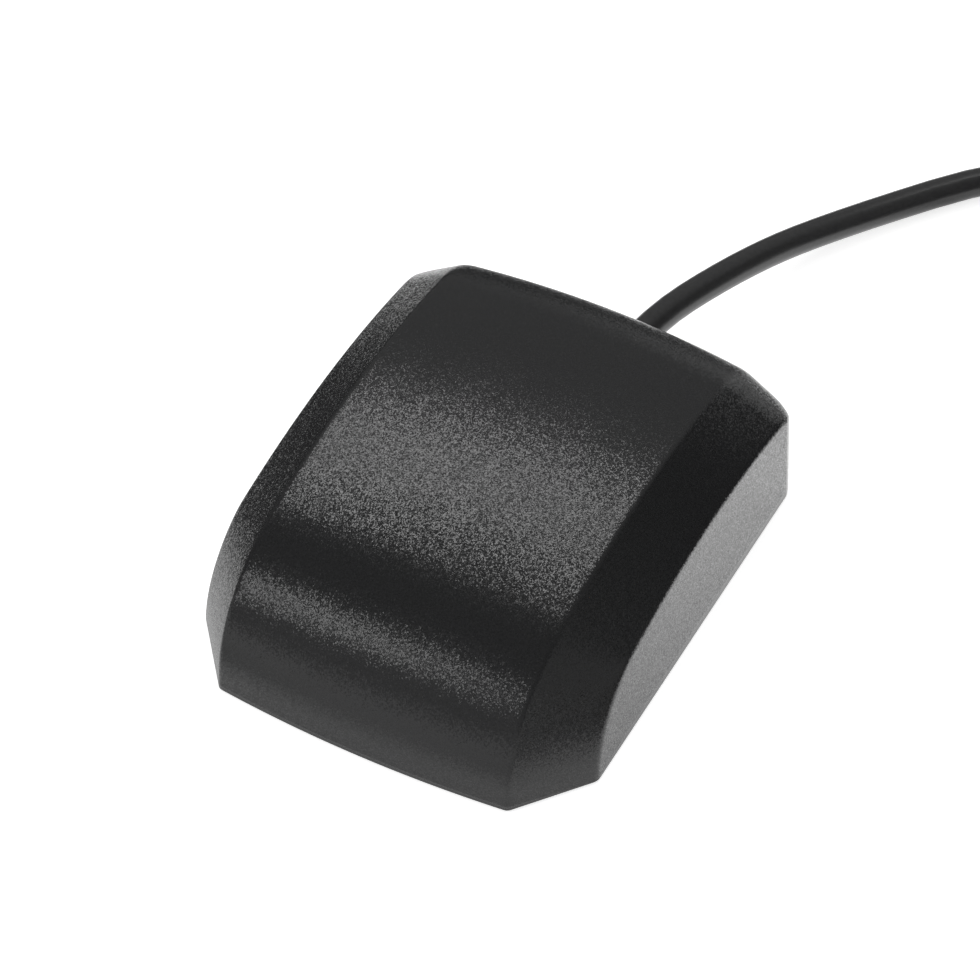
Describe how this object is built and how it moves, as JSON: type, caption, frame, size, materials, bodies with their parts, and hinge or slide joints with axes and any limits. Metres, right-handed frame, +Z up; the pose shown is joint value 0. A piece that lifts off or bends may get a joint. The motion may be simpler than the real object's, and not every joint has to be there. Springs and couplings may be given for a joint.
{
  "type": "gps antenna",
  "caption": "Small arched black housing of a stick-down satellite-positioning antenna, with a thin coaxial lead wound into a tied ring and a screw-on coaxial plug.",
  "frame": {"origin": "middle of the housing, on the surface that the pad under it stands on", "axes": "+Z up through the crowned top, +Y from the low front towards the upright rear wall where the lead leaves, +X across the width"},
  "size_m": [0.1084, 0.0966, 0.0169],
  "materials": {
    "housing_plastic": "black moulding with a fine grain",
    "base_plastic": "black moulding, smoother than the cover",
    "pad_rubber": "dull black",
    "gasket_silicone": "soft grey",
    "magnet_nickel": "nickel plated",
    "screw_steel": "zinc plated",
    "board_laminate": "green solder mask",
    "tape_foam": "white adhesive tape",
    "tile_ceramic": "fired, unglazed",
    "fired_silver": "fired silver",
    "solder_tin": "bright solder",
    "can_tinplate": "tin plated",
    "chip_plastic": "moulded black",
    "filter_lid": "plated lid",
    "chip_ceramic": "fired, matte",
    "grommet_rubber": "dull black",
    "tinned_copper": "tinned braid",
    "core_insulation": "natural white",
    "bare_copper": "bare copper",
    "cable_jacket": "black, satin",
    "tie_plastic": "black",
    "shrink_sleeve": "black, shrunk on",
    "gold_plate": "gold plated",
    "plug_insulation": "white",
    "ring_bronze": "spring bronze",
    "seal_silicone": "red, soft"
  },
  "bodies": {
    "antenna": {"top_cover": "housing_plastic", "base_plate": "base_plastic", "base_pad": "pad_rubber", "cover_gasket": "gasket_silicone", "base_magnet": "magnet_nickel", "case_screws": "screw_steel", "circuit_board": "board_laminate", "patch_tape": "tape_foam", "patch_ceramic": "tile_ceramic", "patch_radiator": "fired_silver", "feed_pin": "solder_tin", "shield_can": "can_tinplate", "amplifier_chips": "chip_plastic", "saw_filter": "filter_lid", "voltage_regulator": "chip_plastic", "chip_parts": "chip_ceramic", "cable_grommet": "grommet_rubber", "cable_braid": "tinned_copper", "cable_insulator": "core_insulation", "cable_core": "bare_copper", "board_solder": "solder_tin", "cable_run": "cable_jacket", "cable_coil": "cable_jacket", "cable_tail": "cable_jacket", "coil_ties": "tie_plastic", "crimp_sleeve": "gold_plate", "heat_shrink": "shrink_sleeve", "connector_body": "gold_plate", "plug_dielectric": "core_insulation", "plug_insulator": "plug_insulation", "plug_pin": "gold_plate", "nut_ring": "ring_bronze", "plug_seal": "seal_silicone"},
    "nut": {"coupling_nut": "gold_plate"}
  },
  "joints": [
    {"name": "nut_spin", "type": "hinge", "parent": "antenna", "child": "nut", "pos_m": [0.076, -0.018, 0.004], "axis": [0, -1, 0], "continuous": true}
  ]
}
